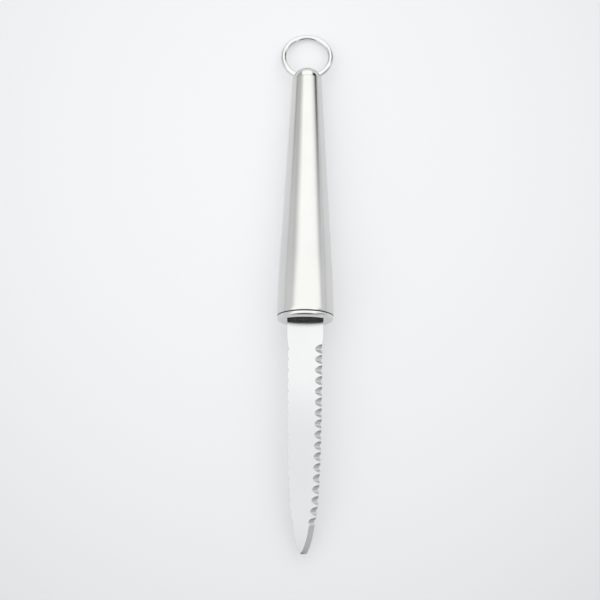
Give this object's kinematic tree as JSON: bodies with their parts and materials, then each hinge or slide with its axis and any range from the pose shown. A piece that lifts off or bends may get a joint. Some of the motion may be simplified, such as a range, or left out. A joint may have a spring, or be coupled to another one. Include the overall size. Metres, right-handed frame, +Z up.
{
  "type": "grapefruit knife",
  "caption": "Slim double-edged scalloped knife with a gently curved blade, a tapered hollow steel handle, a polished front cap and a swinging hanging ring.",
  "frame": {"origin": "on the table, under the middle of the knife's length and width as it lies on its handle", "axes": "+Y along the knife from the blade's tip to the hanging ring, +Z up from the table, +X across the blade"},
  "size_m": [0.025, 0.238, 0.0254],
  "materials": {
    "satin_steel": "fine satin brushing",
    "polished_steel": "mirror polished",
    "blade_steel": "bright satin, with ground facets",
    "rivet_steel": "plain drawn wire",
    "seal_rubber": "matt",
    "core_plastic": "moulded, matt"
  },
  "bodies": {
    "handle": {"handle_shell": "satin_steel", "end_cap": "satin_steel", "front_cap": "polished_steel", "seal_ring": "seal_rubber", "blade": "blade_steel", "core_upper": "core_plastic", "core_lower": "core_plastic", "tang_rivet_front": "rivet_steel", "tang_rivet_rear": "rivet_steel"},
    "ring": {"hanging_ring": "polished_steel"}
  },
  "joints": [
    {"name": "ring_swing", "type": "hinge", "parent": "handle", "child": "ring", "pos_m": [0, 0.0985, 0.00645], "axis": [1, 0, 0], "range_deg": [-98, 122]}
  ]
}
